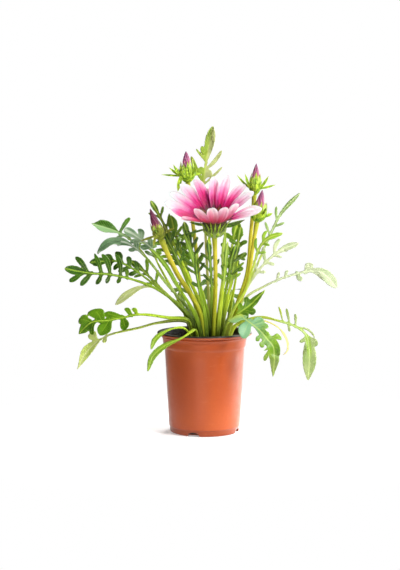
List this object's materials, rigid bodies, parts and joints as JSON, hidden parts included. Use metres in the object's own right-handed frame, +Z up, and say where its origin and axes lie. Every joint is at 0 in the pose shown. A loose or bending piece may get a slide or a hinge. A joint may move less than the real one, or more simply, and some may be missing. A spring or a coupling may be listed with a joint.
{
  "type": "potted gazania",
  "caption": "Flowering gazania with lobed leaves, a two-tone open bloom and closed buds, growing from peat in a round plastic nursery pot.",
  "frame": {"origin": "middle of the pot's flat base, on the surface it stands on", "axes": "+Z up along the pot's axis, -Y towards the side that the open bloom leans to, +X to the right of a viewer who faces that side"},
  "size_m": [0.2808, 0.1788, 0.3221],
  "materials": {
    "terracotta_plastic": "satin moulded terracotta-coloured plastic",
    "peat": "moist crumbly peat",
    "leaf": "satin green above, pale and felted below",
    "withered_leaf": "dry yellow",
    "scape": "finely hairy yellow-green",
    "ray_petals": "silky, white at the tips to magenta at the root",
    "disc_florets": "dark brown and ochre florets",
    "bud_petals": "silky purple"
  },
  "bodies": {
    "root": {"bloom_disc": "disc_florets", "bloom_rays": "ray_petals", "bloom_stem": "scape", "bud_left_petals": "bud_petals", "bud_left_stem": "scape", "bud_right_petals": "bud_petals", "bud_right_stem": "scape", "bud_upper_left_petals": "bud_petals", "bud_upper_left_stem": "scape", "bud_upper_right_petals": "bud_petals", "bud_upper_right_stem": "scape", "leaf_back_1": "leaf", "leaf_back_2": "leaf", "leaf_back_3": "leaf", "leaf_back_4": "leaf", "leaf_back_5": "leaf", "leaf_back_6": "leaf", "leaf_back_7": "leaf", "leaf_back_8": "leaf", "leaf_clump_1": "leaf", "leaf_clump_10": "leaf", "leaf_clump_11": "leaf", "leaf_clump_12": "leaf", "leaf_clump_13": "leaf", "leaf_clump_14": "leaf", "leaf_clump_15": "leaf", "leaf_clump_16": "leaf", "leaf_clump_2": "leaf", "leaf_clump_3": "leaf", "leaf_clump_4": "leaf", "leaf_clump_5": "leaf", "leaf_clump_6": "leaf", "leaf_clump_7": "leaf", "leaf_clump_8": "leaf", "leaf_clump_9": "leaf", "leaf_front_1": "leaf", "leaf_front_2": "leaf", "leaf_left_1": "leaf", "leaf_left_2": "leaf", "leaf_left_3": "leaf", "leaf_left_4": "leaf", "leaf_left_5": "leaf", "leaf_left_6": "leaf", "leaf_left_7": "leaf", "leaf_left_8": "leaf", "leaf_right_1": "leaf", "leaf_right_2": "leaf", "leaf_right_3": "withered_leaf", "leaf_right_4": "leaf", "leaf_right_5": "leaf", "leaf_right_6": "leaf", "leaf_right_7": "leaf", "leaf_right_8": "leaf", "leaf_top": "leaf", "pot": "terracotta_plastic", "soil": "peat"}
  },
  "joints": []
}
